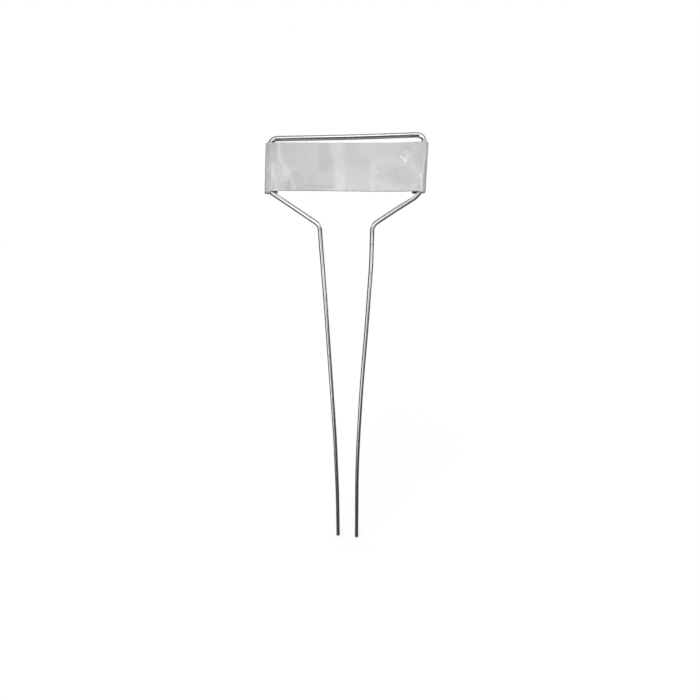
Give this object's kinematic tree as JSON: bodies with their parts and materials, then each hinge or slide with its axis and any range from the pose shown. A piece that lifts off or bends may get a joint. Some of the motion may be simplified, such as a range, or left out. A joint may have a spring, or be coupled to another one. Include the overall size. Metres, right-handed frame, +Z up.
{
  "type": "plant label stake",
  "caption": "Bent-wire plant label stake with long soil legs and a folded sheet nameplate that slides up its leaning head loop.",
  "frame": {"origin": "on the soil line, midway between the legs", "axes": "+Z up along the legs, -Y the way the nameplate faces, +X to the right as one reads the nameplate"},
  "size_m": [0.0914, 0.0181, 0.2719],
  "materials": {
    "galvanised_wire": "drawn and galvanised, semi-bright",
    "zinc_sheet": "plain rolled zinc, dull satin"
  },
  "bodies": {
    "stake": {"wire_frame": "galvanised_wire"},
    "plate": {"nameplate": "zinc_sheet"}
  },
  "joints": [
    {"name": "nameplate_slide", "type": "slide", "parent": "stake", "child": "plate", "axis": [0.0384, 0.3088, 0.9504], "range_m": [0, 0.021]}
  ]
}
